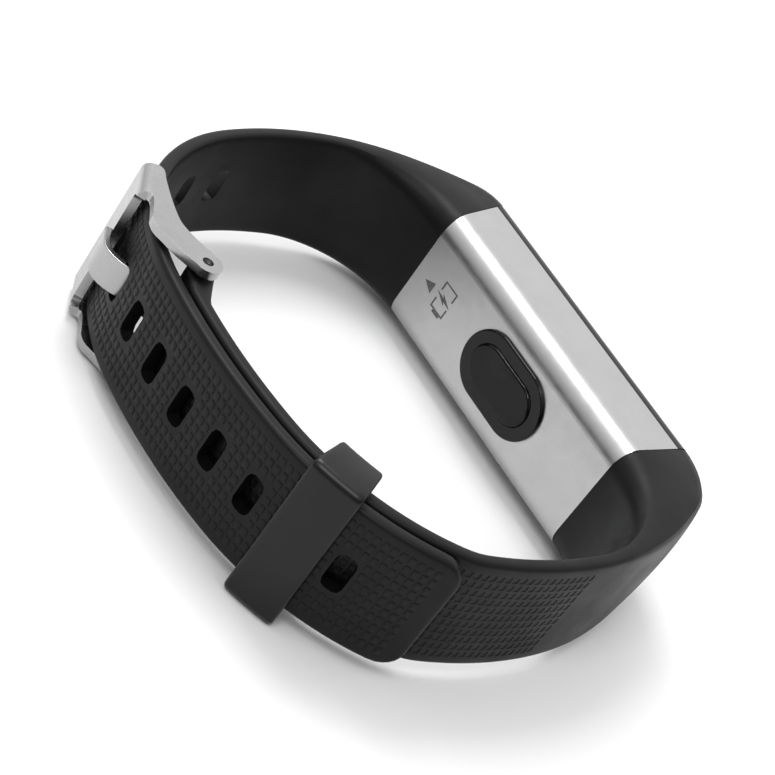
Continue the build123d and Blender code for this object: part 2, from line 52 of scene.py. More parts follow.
# Loop of the band as seen along Z, in mm and degrees.
KEEPER_CENTRE = (-6.23, -1.01)
LOOP_R = 32.58
TIP_DEG = 146.6
LAYER_STEP = 2.15
TAIL_ARC = (LOOP_R, -45.84)
CREST_ARC = (70.09, -17.8)
SHOULDER_ARC = (28.18, -72.4)
UPPER_SIDE_ARC = (54.86, -16.0)
UPPER_HEAD_OUTER = ((54.86, -25.99), (5.0, -56.57))
UPPER_HEAD_INNER = (13.56, -76.56)
UPPER_SEAM_X = (22.40, 19.10)
LAYER_END_DEG = 146.0
LOWER_BEND = (9.11, 19.58)
LOWER_SIDE_ARC = (56.34, 18.0)
LOWER_HEAD_OUTER = ((56.34, 23.79), (10.0, 60.63))
LOWER_HEAD_INNER = (15.43, 78.42)
LOWER_SEAM_X = (-19.66, -19.30)
KEEPER_L = 6.0
KEEPER_OUTSIDE = (6.55, 20.0)
KEEPER_INSIDE = (4.45, 16.6)
KEEPER_DEG = 117.4
KEEPER_R = LOOP_R - LAYER_STEP / 2 - 0.85
FRONT_Y = -32.15
BACK_Y = -18.6
CASE_W = 17.0
PIN = (9.30, 27.00)
LUG_R = 1.7
LUG_RUNS = (2.05, 3.0, 4.1)
PRONG_RUNS = (1.7, 1.3, 0.8, 0.3, -0.3, -0.9, -1.35, -1.6, -1.69)
TIP_CORNER_R = 3.0
ROW_PITCH = 6.2 / 6
SLOT_CORNER_R = 0.85
SLOT_INSET = 0.12
SEAM_BEVEL = 0.10
PAD_CORNER = 0.16
PAD_GAP = 0.15
STRAP_SHARP = 32

# Side plate of the buckle frame on the skin side, round its end, and back outside.
PLATE_EYE_R = 1.75
PLATE_INNER = ((11.0, 25.8), (12.4, 26.4), (14.1, 26.95), (15.9, 27.1), (19.1, 26.35), (22.0, 25.4))
PLATE_END = ((23.6, 24.75), (24.4, 25.0))
PLATE_OUTER = (
    (19.5, 28.7), (18.7, 29.0), (17.0, 30.0), (15.9, 30.65), (14.6, 30.85), (13.2, 30.4), (11.2, 29.8),
)
BAR_LINE = ((24.95, 26.05), (21.1, 28.75))
BAR_SHARES = (0.0, 0.2, 0.4, 0.6, 0.8, 1.0)
BAR_CORNER = 1.1
PLATE_MID_Z = 8.95
FOLD_R = 0.62
PLATE_T = 1.05
PLATE_EDGE = 0.13
PLATE_BORE_R = 0.66
TONGUE_ROLL_R = 1.12
TONGUE_W = 4.2
TONGUE_STRIPS = 4
TONGUE_T = 0.85
TONGUE_EDGE = 0.16
TONGUE_PATH = (
    (11.2, 26.75), (12.6, 27.3), (13.9, 27.8), (15.05, 28.6), (16.05, 29.55), (17.1, 30.35), (18.2, 30.78),
    (19.2, 30.8), (20.2, 30.4), (21.2, 29.75), (22.2, 29.1),
)


# Stage: where the sky is bright and how bright, lamps (place, size, power) in metres and watts.
SKY_TOWARDS = (0.457, -0.356, 0.813)
SKY_SPAN = (("From Min", -0.5), ("From Max", 0.8), ("To Min", 0.10), ("To Max", 1.12))
LAMPS = (("key", (0.21, -0.02, 0.40), 0.17, 0.95), ("fill", (-0.09, 0.25, 0.37), 0.16, 0.55))
LAMP_AIM = (0, 0, 0.01)
FLOOR_R = 4.0
FLOOR_DROP = 0.0001
CAMERA_AIM = (-0.868, 0.660, 10.0)


# ---------------------------------------------------------------- curves
def polar(centre, radius, degrees):
    angle = math.radians(degrees)
    return (centre[0] + radius * math.cos(angle), centre[1] + radius * math.sin(angle))


def along_arc(x, y, heading, radius, turn):
    side = 1 if turn > 0 else -1
    start = math.radians(heading)
    end = math.radians(heading + turn)
    cx = x - side * radius * math.sin(start)
    cy = y + side * radius * math.cos(start)
    return (cx + side * radius * math.sin(end), cy - side * radius * math.cos(end), heading + turn)


def chain_length(arcs):
    return sum(radius * math.radians(abs(turn)) for radius, turn in arcs)


def at_length(start, arcs, length):
    here = start
    for radius, turn in arcs:
        span = radius * math.radians(abs(turn))
        if length <= span:
            share = math.degrees(length / radius)
            return along_arc(*here, radius, share if turn > 0 else -share)
        here = along_arc(*here, radius, turn)
        length -= span
    return here


def arc_centre(x, y, heading, radius, turn):
    side = 1 if turn > 0 else -1
    start = math.radians(heading)
    return (x - side * radius * math.sin(start), y + side * radius * math.cos(start))


TAIL_START = (*polar(KEEPER_CENTRE, LOOP_R, TIP_DEG), TIP_DEG - 90)
HOLE_ARCS = (TAIL_ARC, CREST_ARC, SHOULDER_ARC, UPPER_SIDE_ARC)
CREST_START = along_arc(*TAIL_START, *TAIL_ARC)
CREST_CENTRE = arc_centre(*CREST_START, *CREST_ARC)
CREST_DEG = TIP_DEG + TAIL_ARC[1]
SHOULDER_START = along_arc(*CREST_START, *CREST_ARC)
SHOULDER_CENTRE = arc_centre(*SHOULDER_START, *SHOULDER_ARC)
PIN_DEG = math.degrees(math.atan2(PIN[1] - CREST_CENTRE[1], PIN[0] - CREST_CENTRE[0]))


def smooth_line(points, steps):
    """Rounded line through the points, as more points."""
    curve = []
    last = len(points) - 1
    for index in range(last):
        before = Vector(points[max(0, index - 1)])
        here = Vector(points[index])
        there = Vector(points[index + 1])
        after = Vector(points[min(last, index + 2)])
        for step in range(steps):
            t = step / steps
            curve.append(
                0.5 * (
                    2 * here
                    + (there - before) * t
                    + (2 * before - 5 * here + 4 * there - after) * t * t
                    + (3 * here - before - 3 * there + after) * t ** 3
                )
            )
    return [(spot.x, spot.y) for spot in curve] + [points[-1]]


# ---------------------------------------------------------------- properties
class TrackerStrapSizes(bpy.types.PropertyGroup):
    width: bpy.props.FloatProperty(
        name="Strap width", description="Width of both straps", default=0.016, min=0.008, unit="LENGTH"
    )
    thickness: bpy.props.FloatProperty(
        name="Strap thickness", description="Thickness of both straps", default=0.0017, unit="LENGTH"
    )
    outer_edge: bpy.props.FloatProperty(
        name="Outer edge radius", description="Rounding of the outer edges", default=0.0006, unit="LENGTH"
    )
    inner_edge: bpy.props.FloatProperty(
        name="Inner edge radius", description="Rounding of the skin edges", default=0.0005, unit="LENGTH"
    )
    slot_count: bpy.props.IntProperty(
        name="Slots", description="Number of slots in the long strap", default=13, min=1
    )
    slot_pitch: bpy.props.FloatProperty(
        name="Slot pitch", description="Distance from slot to slot", default=0.0062, unit="LENGTH"
    )
    slot_first: bpy.props.FloatProperty(
        name="First slot", description="Tip to the middle of the first slot", default=0.01107, unit="LENGTH"
    )
    slot_long: bpy.props.FloatProperty(
        name="Slot length", description="Slot size across the strap", default=0.0049, unit="LENGTH"
    )
    slot_short: bpy.props.FloatProperty(
        name="Slot width", description="Slot size along the strap", default=0.0025, unit="LENGTH"
    )
    pad_columns: bpy.props.IntProperty(
        name="Pad columns", description="Raised pads across the strap", default=11, min=3
    )
    pad_pitch: bpy.props.FloatProperty(
        name="Pad pitch", description="Distance between pads across the strap", default=0.00122, unit="LENGTH"
    )
    pad_height: bpy.props.FloatProperty(
        name="Pad height", description="How far each pad stands up", default=0.00008, unit="LENGTH"
    )


class TrackerColours(bpy.types.PropertyGroup):
    silicone: bpy.props.FloatVectorProperty(
        name="Silicone", description="Strap and keeper colour", default=(0.0036, 0.0036, 0.0038),
        size=3, subtype="COLOR", min=0.0, max=1.0,
    )
    cover: bpy.props.FloatVectorProperty(
        name="Cover metal", description="Colour of the case cover", default=(0.47, 0.47, 0.475),
        size=3, subtype="COLOR", min=0.0, max=1.0,
    )
    buckle: bpy.props.FloatVectorProperty(
        name="Buckle metal", description="Colour of the buckle", default=(0.37, 0.37, 0.37),
        size=3, subtype="COLOR", min=0.0, max=1.0,
    )
    glass: bpy.props.FloatVectorProperty(
        name="Glass", description="Colour of the black glass", default=(0.004, 0.004, 0.005),
        size=3, subtype="COLOR", min=0.0, max=1.0,
    )
    ink: bpy.props.FloatVectorProperty(
        name="Ink", description="Colour of the printed charging mark", default=(0.07, 0.07, 0.075),
        size=3, subtype="COLOR", min=0.0, max=1.0,
    )


class TrackerStage(bpy.types.PropertyGroup):
    lens: bpy.props.FloatProperty(
        name="Lens", description="Focal length of the camera", default=102.19, unit="CAMERA"
    )
    distance: bpy.props.FloatProperty(
        name="Distance", description="Camera to the middle of the band", default=0.2513, unit="LENGTH"
    )
    azimuth: bpy.props.FloatProperty(
        name="Azimuth", description="Camera's turn about Z", default=math.radians(213.87), subtype="ANGLE"
    )
    elevation: bpy.props.FloatProperty(
        name="Elevation", description="Camera's height angle", default=math.radians(32.0), subtype="ANGLE"
    )
    roll: bpy.props.FloatProperty(
        name="Roll", description="Camera's turn about its own axis", default=math.radians(36.42),
        subtype="ANGLE",
    )
    floor: bpy.props.FloatVectorProperty(
        name="Floor", description="Floor colour", default=(0.86, 0.86, 0.86),
        size=3, subtype="COLOR", min=0.0, max=1.0,
    )


# ---------------------------------------------------------------- materials
class Finish:
    """A Principled material whose patterns read Object coordinates in mm."""

    def __init__(self, name, metallic=0.0, ior=1.5, coat=0.0, specular=0.5, alpha=1.0):
        self.material = bpy.data.materials.new(name)
        self.material.use_nodes = True
        self.tree = self.material.node_tree
        self.tree.nodes.clear()
        output = self.tree.nodes.new("ShaderNodeOutputMaterial")
        self.shader = self.tree.nodes.new("ShaderNodeBsdfPrincipled")
        self.tree.links.new(self.shader.outputs["BSDF"], output.inputs["Surface"])
        self.shader.inputs["Metallic"].default_value = metallic
        self.shader.inputs["IOR"].default_value = ior
        self.shader.inputs["Coat Weight"].default_value = coat
        self.shader.inputs["Coat Roughness"].default_value = 0.05
        self.shader.inputs["Specular IOR Level"].default_value = specular
        self.shader.inputs["Alpha"].default_value = alpha
        self.coords = self.tree.nodes.new("ShaderNodeTexCoord").outputs["Object"]
        self.normal = None

    def link(self, source, target):
        self.tree.links.new(source, target)

    def place(self, stretch=(1, 1, 1), turn=(0, 0, 0), shift=(0, 0, 0)):
        """Object coordinates in mm, stretched per axis."""
        node = self.tree.nodes.new("ShaderNodeMapping")
        node.inputs["Scale"].default_value = [s / MM for s in stretch]
        node.inputs["Rotation"].default_value = turn
        node.inputs["Location"].default_value = shift
        self.link(self.coords, node.inputs["Vector"])
        return node.outputs["Vector"]

    def noise(self, per_mm, detail=2.0, rough=0.5, stretch=(1, 1, 1), distortion=0.0):
        node = self.tree.nodes.new("ShaderNodeTexNoise")
        node.inputs["Scale"].default_value = per_mm
        node.inputs["Detail"].default_value = detail
        node.inputs["Roughness"].default_value = rough
        node.inputs["Distortion"].default_value = distortion
        self.link(self.place(stretch), node.inputs["Vector"])
        return node.outputs["Fac"]

    def cells(self, per_mm, feature="F1", stretch=(1, 1, 1)):
        node = self.tree.nodes.new("ShaderNodeTexVoronoi")
        node.feature = feature
        node.inputs["Scale"].default_value = per_mm
        self.link(self.place(stretch), node.inputs["Vector"])
        return node.outputs["Distance"]

    def span(self, value, low, high, to_low=0.0, to_high=1.0):
        """Value between low and high mapped to another span, clamped."""
        node = self.tree.nodes.new("ShaderNodeMapRange")
        node.inputs["From Min"].default_value = low
        node.inputs["From Max"].default_value = high
        node.inputs["To Min"].default_value = to_low
        node.inputs["To Max"].default_value = to_high
        self.link(value, node.inputs["Value"])
        return node.outputs["Result"]

    def math(self, kind, a, b=None):
        node = self.tree.nodes.new("ShaderNodeMath")
        node.operation = kind
        for index, value in enumerate((a, b)):
            if value is None:
                continue
            if isinstance(value, (int, float)):
                node.inputs[index].default_value = value
            else:
                self.link(value, node.inputs[index])
        return node.outputs[0]

    def mix(self, share, first, second):
        """Colour that goes from first to second; each is a colour or a socket."""
        node = self.tree.nodes.new("ShaderNodeMix")
        node.data_type = "RGBA"
        self.link(share, node.inputs["Factor"])
        for key, value in ((6, first), (7, second)):
            if isinstance(value, bpy.types.NodeSocket):
                self.link(value, node.inputs[key])
            else:
                node.inputs[key].default_value = (*value, 1.0)
        return node.outputs[2]

    def mesh_value(self, name):
        """Number kept on the mesh's faces under that name."""
        node = self.tree.nodes.new("ShaderNodeAttribute")
        node.attribute_name = name
        return node.outputs["Fac"]

    def edges(self, radius):
        """1 on sharp edges and 0 on flat faces."""
        bevel = self.tree.nodes.new("ShaderNodeBevel")
        bevel.samples = 4
        bevel.inputs["Radius"].default_value = radius * MM
        geometry = self.tree.nodes.new("ShaderNodeNewGeometry")
        dot = self.tree.nodes.new("ShaderNodeVectorMath")
        dot.operation = "DOT_PRODUCT"
        self.link(bevel.outputs[0], dot.inputs[0])
        self.link(geometry.outputs["Normal"], dot.inputs[1])
        return self.span(dot.outputs["Value"], 0.98, 0.80)

    def relief(self, height, depth, strength=1.0):
        """Adds a bump of that depth in mm."""
        node = self.tree.nodes.new("ShaderNodeBump")
        node.inputs["Distance"].default_value = depth * MM
        node.inputs["Strength"].default_value = strength
        self.link(height, node.inputs["Height"])
        if self.normal is not None:
            self.link(self.normal, node.inputs["Normal"])
        self.normal = node.outputs["Normal"]

    def done(self, colour=None, roughness=None):
        if isinstance(colour, (tuple, list)):
            self.shader.inputs["Base Color"].default_value = (*colour, 1.0)
        elif colour is not None:
            self.link(colour, self.shader.inputs["Base Color"])
        if isinstance(roughness, (int, float)):
            self.shader.inputs["Roughness"].default_value = roughness
        elif roughness is not None:
            self.link(roughness, self.shader.inputs["Roughness"])
        if self.normal is not None:
            self.link(self.normal, self.shader.inputs["Normal"])
        return self.material


def scaled(colour, factor):
    return tuple(min(1.0, channel * factor) for channel in colour)


def silicone(name, colour, rough_from, rough_to, grain, gloss):
    """Moulded silicone: fine grain, broad cloudiness, a little dust, paler edges that are partly rubbed wear
    and partly a painted highlight, and painted shade on the pad walls.
    """
    finish = Finish(name, ior=1.45, specular=gloss)
    cloud = finish.noise(0.16, detail=3.0)
    dust = finish.span(finish.noise(2.6, detail=4.0, rough=0.7), 0.66, 0.80)
    base = finish.mix(finish.span(cloud, 0.3, 0.7), scaled(colour, 0.85), scaled(colour, 1.25))
    base = finish.mix(finish.math("MULTIPLY", dust, 0.35), base, scaled(colour, 3.5))
    # Paler edges: partly rubbed wear, partly a painted highlight.
    base = finish.mix(finish.math("MULTIPLY", finish.edges(0.25), 0.5), base, scaled(colour, 2.2))
    # Painted shade on the pad walls: darker where the mesh marks it.
    base = finish.mix(finish.math("MULTIPLY", finish.mesh_value("pad_wall_shade"), 0.75), base, scaled(colour, 0.25))
    finish.relief(finish.noise(7.0, detail=3.0, rough=0.6), 0.012, grain)
    finish.relief(finish.noise(0.5, detail=1.0), 0.03, 0.15)
    rough = finish.span(finish.noise(0.22, detail=4.0), 0.3, 0.7, rough_from, rough_to)
    return finish.done(base, rough)


def satin_metal(name, colour, rough_from, rough_to, grain, streak):
    """Blasted and lightly brushed metal with smoother edges, whose brighter colour is partly polished wear
    and partly a painted highlight.
    """
    finish = Finish(name, metallic=1.0)
    cloud = finish.noise(0.25, detail=3.0)
    speck = finish.noise(9.0, detail=2.0, rough=0.7)
    base = finish.mix(finish.span(cloud, 0.3, 0.7), scaled(colour, 0.96), scaled(colour, 1.04))
    base = finish.mix(finish.span(speck, 0.35, 0.75), base, scaled(colour, 1.10))
    # Edge mask: brighter colour, partly polished wear and partly a painted highlight, and lower roughness.
    edge = finish.edges(0.22)
    base = finish.mix(finish.math("MULTIPLY", edge, 0.6), base, scaled(colour, 1.25))
    finish.relief(speck, 0.010, grain)
    finish.relief(finish.noise(3.0, detail=3.0, stretch=(0.05, 1.6, 1.6)), 0.006, streak)
    rough = finish.span(finish.noise(0.6, detail=4.0), 0.3, 0.7, rough_from, rough_to)
    rough = finish.math("SUBTRACT", rough, finish.math("MULTIPLY", edge, 0.10))
    return finish.done(base, rough)


def black_glass(name, colour, alpha=1.0):
    """Polished glass with faint smudges."""
    finish = Finish(name, ior=1.45, specular=0.30, alpha=alpha)
    smudge = finish.span(finish.noise(0.30, detail=4.0, rough=0.6), 0.45, 0.75)
    base = finish.mix(smudge, colour, scaled(colour, 1.8))
    rough = finish.span(finish.noise(0.35, detail=5.0, rough=0.65), 0.35, 0.75, 0.04, 0.12)
    finish.relief(finish.noise(0.12, detail=1.0), 0.02, 0.05)
    return finish.done(base, rough)


def printed_ink(name, colour):
    """Pad-printed ink, thin and slightly uneven."""
    finish = Finish(name)
    base = finish.mix(finish.span(finish.noise(3.0, detail=4.0), 0.35, 0.7), colour, scaled(colour, 1.7))
    finish.relief(finish.noise(8.0), 0.01, 0.3)
    return finish.done(base, finish.span(finish.noise(2.0), 0.3, 0.7, 0.45, 0.6))


def moulded_plastic(name, colour, rough=0.5):
    """Injection-moulded plastic with a spark-eroded grain."""
    finish = Finish(name)
    cloud = finish.span(finish.noise(0.4, detail=3.0), 0.3, 0.7)
    base = finish.mix(cloud, scaled(colour, 0.9), scaled(colour, 1.15))
    finish.relief(finish.noise(6.0, detail=3.0), 0.02, 0.4)
    return finish.done(base, finish.span(finish.noise(1.2, detail=2.0), 0.3, 0.7, rough - 0.06, rough + 0.08))


def plated_metal(name, colour, rough=0.22):
    """Plated or rolled metal with fine scratches."""
    finish = Finish(name, metallic=1.0)
    scratch = finish.noise(2.2, detail=4.0, stretch=(0.15, 1.0, 2.5))
    base = finish.mix(finish.span(scratch, 0.35, 0.7), scaled(colour, 0.92), scaled(colour, 1.08))
    finish.relief(scratch, 0.006, 0.3)
    return finish.done(base, finish.span(finish.noise(1.5, detail=3.0), 0.3, 0.7, rough, rough + 0.14))


def circuit_board(name):
    """Dark solder mask over copper tracks."""
    finish = Finish(name)
    tracks = finish.span(finish.cells(0.55, "DISTANCE_TO_EDGE"), 0.03, 0.08)
    pads = finish.span(finish.cells(0.9), 0.16, 0.12)
    base = finish.mix(tracks, (0.010, 0.055, 0.030), (0.004, 0.024, 0.014))
    base = finish.mix(finish.math("MULTIPLY", pads, 0.8), base, (0.55, 0.40, 0.14))
    finish.relief(tracks, 0.03, 0.4)
    return finish.done(base, finish.span(finish.noise(1.0, detail=3.0), 0.3, 0.7, 0.28, 0.42))


def foil_pouch(name):
    """Crinkled aluminium foil of a pouch cell, with painted shade in the crinkle hollows and a painted
    highlight on the ridges.
    """
    finish = Finish(name, metallic=0.9)
    crease = finish.noise(0.35, detail=5.0, rough=0.6, distortion=0.8)
    # Colour follows the crinkle height: painted shade in the hollows, painted highlight on the ridges.
    base = finish.mix(finish.span(crease, 0.3, 0.7), (0.52, 0.52, 0.54), (0.70, 0.70, 0.71))
    finish.relief(crease, 0.12, 0.5)
    return finish.done(base, finish.span(crease, 0.3, 0.7, 0.28, 0.44))


def foam_tape(name):
    """Open-cell black foam tape."""
    finish = Finish(name, specular=0.2)
    cell = finish.cells(3.5)
    base = finish.mix(finish.span(cell, 0.1, 0.6), (0.006, 0.006, 0.006), (0.022, 0.022, 0.022))
    finish.relief(cell, 0.08, 0.7)
    return finish.done(base, 0.9)


def show(material, *names):
    """Gives CAD nodes that finish."""
    for name in names:
        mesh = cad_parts[name].data
        mesh.materials.clear()
        mesh.materials.append(material)


# ---------------------------------------------------------------- mesh tools
def to_piece(bm, name, body, material, nodes, sharp):
    """Turns a bmesh in mm into a piece that rides on a CAD body."""
    bmesh.ops.recalc_face_normals(bm, faces=bm.faces)
    bm.transform(Matrix.Scale(MM, 4))
    mesh = bpy.data.meshes.new(name)
    bm.to_mesh(mesh)
    bm.free()
    mesh.materials.append(material)
    mesh.polygons.foreach_set("use_smooth", [True] * len(mesh.polygons))
    mesh.set_sharp_from_angle(angle=math.radians(sharp))
    piece = bpy.data.objects.new(name, mesh)
    bpy.context.scene.collection.objects.link(piece)
    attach(piece, body)
    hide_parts(*nodes)
    return piece


class Station:
    """A section across the band: where it stands, which way is in, and its own shape."""

    def __init__(self, outer, inner, width, drop=0.0, r_out=0.6, r_in=0.5, columns=None):
        self.outer = Vector((outer[0], outer[1]))
        towards = Vector((inner[0], inner[1])) - self.outer
        self.depth = towards.length
        self.inward = towards / self.depth
        self.width = width
        self.drop = drop
        self.r_out = min(r_out, 0.45 * self.depth)
        self.r_in = min(r_in, 0.45 * self.depth)
        self.columns = columns

    def point(self, inward, across):
        flat = self.outer + self.inward * inward
        return Vector((flat.x, flat.y, MID_Z + across))

    def ring(self, columns):
        """Points round the section: outer face, lower edge, inner face, upper edge."""
        half = self.width / 2
        flat_out = half - self.r_out
        flat_in = half - self.r_in
        shares = self.columns or columns
        points = []
        for share in shares:
            crown = self.drop * share * share
            points.append((crown, flat_out * share))
        corner = []
        for angle in (30, 60, 90):
            a = math.radians(angle)
            corner.append((self.drop + self.r_out * (1 - math.cos(a)), flat_out + self.r_out * math.sin(a)))
        for angle in (0, 30, 60):
            a = math.radians(angle)
            corner.append((self.depth - self.r_in * (1 - math.sin(a)), flat_in + self.r_in * math.cos(a)))
        points += [(inward, -across) for inward, across in corner]
        points += [(self.depth, flat_in * share) for share in reversed(shares)]
        points += reversed(corner)
        return [self.point(*spot) for spot in points]


class Loft:
    """Skin drawn from station to station; each vertex knows its row and its place in the ring."""

    def __init__(self, stations, columns):
        self.bm = bmesh.new()
        self.place = self.bm.verts.layers.int.new("place")
        self.row = self.bm.verts.layers.int.new("row")
        # Painted shade on the pad walls, kept per face for the strap finish.
        self.pad_wall_shade = self.bm.faces.layers.float.new("pad_wall_shade")
        self.pad = self.bm.faces.layers.int.new("pad")
        self.columns = columns
        self.count = len(columns)
        ring = [self.bm.verts.new(point) for point in stations[0].ring(columns)]
        for index, vert in enumerate(ring):
            vert[self.place] = index
            vert[self.row] = 0
        self.first = ring
        for index, vert in enumerate(ring):
            self.bm.edges.new((ring[index - 1], vert))
        for row, station in enumerate(stations[1:], 1):
            ring = self.extend(ring, station, row)
        self.last = ring

    def extend(self, ring, station, row):
        edges = [self.bm.edges.get((ring[index - 1], vert)) for index, vert in enumerate(ring)]
        made = bmesh.ops.extrude_edge_only(self.bm, edges=edges)["geom"]
        points = station.ring(self.columns)
        fresh = [None] * len(points)
        for item in made:
            if isinstance(item, bmesh.types.BMVert):
                item.co = points[item[self.place]]
                item[self.row] = row
                fresh[item[self.place]] = item
        return fresh

    def across(self, column):
        """Place on the inner face that lies under a column of the outer face."""
        return 2 * self.count + 5 - column

    def cap(self, ring):
        """Closes a ring with one face per column; returns the faces from first column to last."""
        n = self.count
        faces = [self.bm.faces.new([ring[self.across(0)]] + ring[2 * n + 6:] + [ring[0]])]
        for column in range(n - 1):
            faces.append(
                self.bm.faces.new(
                    [ring[column], ring[column + 1], ring[self.across(column + 1)], ring[self.across(column)]]
                )
            )
        faces.append(self.bm.faces.new(ring[n - 1:n + 7]))
        return faces

    def patch(self, rows, columns, inner=False):
        """Faces of the outer or inner skin between two rows and two columns."""
        places = {self.across(c) if inner else c for c in range(columns[0], columns[1] + 1)}
        found = []
        for face in self.bm.faces:
            if all(rows[0] <= v[self.row] <= rows[1] and v[self.place] in places for v in face.verts):
                found.append(face)
        return found

    def grow(self, faces, stations):
        """Extrudes a group of cap faces through more stations."""
        for station in stations:
            made = bmesh.ops.extrude_face_region(self.bm, geom=faces)["geom"]
            bmesh.ops.delete(self.bm, geom=faces, context="FACES")
            points = station.ring(self.columns)
            for item in made:
                if isinstance(item, bmesh.types.BMVert):
                    item.co = points[item[self.place]]
            faces = [item for item in made if isinstance(item, bmesh.types.BMFace)]

    def pads(self, faces, gap, rise):
        """Turns each face into a crisp raised pad and marks painted shade on the walls round it."""
        bmesh.ops.inset_individual(self.bm, faces=faces, thickness=gap, depth=0.0, use_even_offset=True)
        for face in faces:
            face[self.pad] = 1
        corners = list({vert for face in faces for vert in face.verts})
        bmesh.ops.bevel(
            self.bm, geom=corners, offset=PAD_CORNER, segments=2, profile=0.5, affect="VERTICES", material=-1
        )
        faces = [face for face in self.bm.faces if face[self.pad] and len(face.verts) > 6]
        # Each step: inset width, rise, and how dark the painted shade on that wall is.
        steps = ((0.03, 0.75 * rise, 0.7), (0.05, 0.25 * rise, 0.2))
        for width, depth, dark in steps:
            ring = bmesh.ops.inset_individual(
                self.bm, faces=faces, thickness=width, depth=depth, use_even_offset=True
            )["faces"]
            for face in ring:
                face[self.pad_wall_shade] = dark


def strap_station(start, arcs, side, length, sizes, width=None, lift_out=0.0, lift_in=0.0):
    """Plain section of a strap at an arc length from the start of its outer face."""
    x, y, heading = at_length(start, arcs, length)
    angle = math.radians(heading + 90 * side)
    inward = Vector((math.cos(angle), math.sin(angle)))
    outer = Vector((x, y)) + inward * lift_out
    inner = Vector((x, y)) + inward * (sizes.thickness / MM - lift_in)
    return Station(
        outer, inner, width or sizes.width / MM, r_out=sizes.outer_edge / MM, r_in=sizes.inner_edge / MM
    )


def head_stations(join, side, outer_arcs, inner_arc, seam_x, sizes, steps):
    """Sections where a strap grows into the case, with a small bevel at the seam."""
    x, y, heading = join
    angle = math.radians(heading + 90 * side)
    thickness = sizes.thickness / MM
    inner = (x + thickness * math.cos(angle), y + thickness * math.sin(angle), heading)
    outer_length = chain_length(outer_arcs)
    arc_length = chain_length((inner_arc,))
    inner_end = along_arc(*inner, *inner_arc)
    seam_back = (seam_x[1], BACK_Y)
    line_length = math.dist(inner_end[:2], seam_back)
    inner_length = arc_length + line_length
    stations = []
    for index in range(1, steps + 1):
        share = index / steps
        if index == steps:
            share = 1.0 - 0.16 / outer_length
        outer = at_length(join, outer_arcs, share * outer_length)
        run = share * inner_length
        if run <= arc_length:
            inside = at_length(inner, (inner_arc,), run)
        else:
            part = (run - arc_length) / line_length
            inside = (
                inner_end[0] + part * (seam_back[0] - inner_end[0]),
                inner_end[1] + part * (seam_back[1] - inner_end[1]),
            )
        grow = share * share * (3 - 2 * share)
        stations.append(
            Station(
                outer[:2],
                inside[:2],
                sizes.width / MM + (CASE_W - sizes.width / MM) * grow,
                drop=1.0 * grow,
                r_out=0.6 + 1.6 * grow,
                r_in=0.5 + 2.5 * grow,
            )
        )
    seam_front = Vector((seam_x[0], FRONT_Y + SEAM_BEVEL))
    seam_end = Vector((seam_x[1], BACK_Y - SEAM_BEVEL))
    stations.append(
        Station(seam_front, seam_end, CASE_W - 2 * SEAM_BEVEL, drop=1.0, r_out=2.15, r_in=2.95)
    )
    return stations


def pad_columns(sizes):
    """Column edges across the strap, from +1 to -1 of the flat width."""
    flat = sizes.width / MM / 2 - sizes.outer_edge / MM
    pitch = sizes.pad_pitch / MM
    count = sizes.pad_columns
    inside = [(count / 2 - index) * pitch / flat for index in range(count + 1)]
    return [1.0] + inside + [-1.0]


def cut_slot(loft, rows, columns, centre, sizes, spot):
    """Opens one rounded slot through both skins and joins the two rims."""
    half_s = sizes.slot_short / MM / 2
    half_z = sizes.slot_long / MM / 2
    rims = []
    for inner in (False, True):
        faces = loft.patch(rows, columns, inner)
        bmesh.ops.inset_region(loft.bm, faces=faces, thickness=SLOT_INSET, depth=0.0, use_even_offset=True)
        hole = {v for face in faces for v in face.verts}
        edge_verts = [v for v in hole if any(f not in faces for f in v.link_faces)]
        bmesh.ops.delete(loft.bm, geom=faces, context="FACES")
        for vert in edge_verts:
            s, z = spot.inverse(vert.co)
            a = (s - centre) / (0.5 * (rows[1] - rows[0]) * ROW_PITCH - SLOT_INSET)
            b = (z - MID_Z) / (0.5 * (columns[1] - columns[0]) * sizes.pad_pitch / MM - SLOT_INSET)
            x = a * half_s
            y = b * half_z
            cx = math.copysign(half_s - SLOT_CORNER_R, x)
            cy = math.copysign(half_z - SLOT_CORNER_R, y)
            if abs(x) > half_s - SLOT_CORNER_R and abs(y) > half_z - SLOT_CORNER_R:
                away = Vector((x - cx, y - cy)).normalized() * SLOT_CORNER_R
                x = cx + away.x
                y = cy + away.y
            vert.co = spot.place(centre + x, y, sizes.thickness / MM if inner else 0.0)
        rims.append([e for e in {e for v in edge_verts for e in v.link_edges} if e.is_boundary])
    bmesh.ops.bridge_loops(loft.bm, edges=rims[0] + rims[1])


class TailPath:
    """Arc length and height on the long strap, and back."""

    def __init__(self, start, arcs, side):
        self.start = start
        self.arcs = arcs
        self.side = side

    def place(self, length, across, inward):
        x, y, heading = at_length(self.start, self.arcs, length)
        angle = math.radians(heading + 90 * self.side)
        return Vector((x + inward * math.cos(angle), y + inward * math.sin(angle), MID_Z + across))

    def inverse(self, point):
        here = self.start
        best = None
        passed = 0.0
        for radius, turn in self.arcs:
            side = 1 if turn > 0 else -1
            cx, cy = arc_centre(*here, radius, turn)
            start = math.atan2(here[1] - cy, here[0] - cx)
            now = math.atan2(point.y - cy, point.x - cx)
            swept = math.degrees((now - start) * side + math.pi) % 360 - 180
            off = abs(math.hypot(point.x - cx, point.y - cy) - radius)
            if -3 <= swept <= abs(turn) + 3 and (best is None or off < best[0] - 0.01):
                best = (off, passed + radius * math.radians(swept))
            passed += radius * math.radians(abs(turn))
            here = along_arc(*here, radius, turn)
        return best[1], point.z


# ---------------------------------------------------------------- operators
class TrackerStep(bpy.types.Operator):
    """Shared by every step of the build"""

    bl_idname = "tracker.step"
    bl_label = "Step"

    def execute(self, context):
        self.make(context.scene)
        return {"FINISHED"}

    def make(self, scene):
        raise NotImplementedError


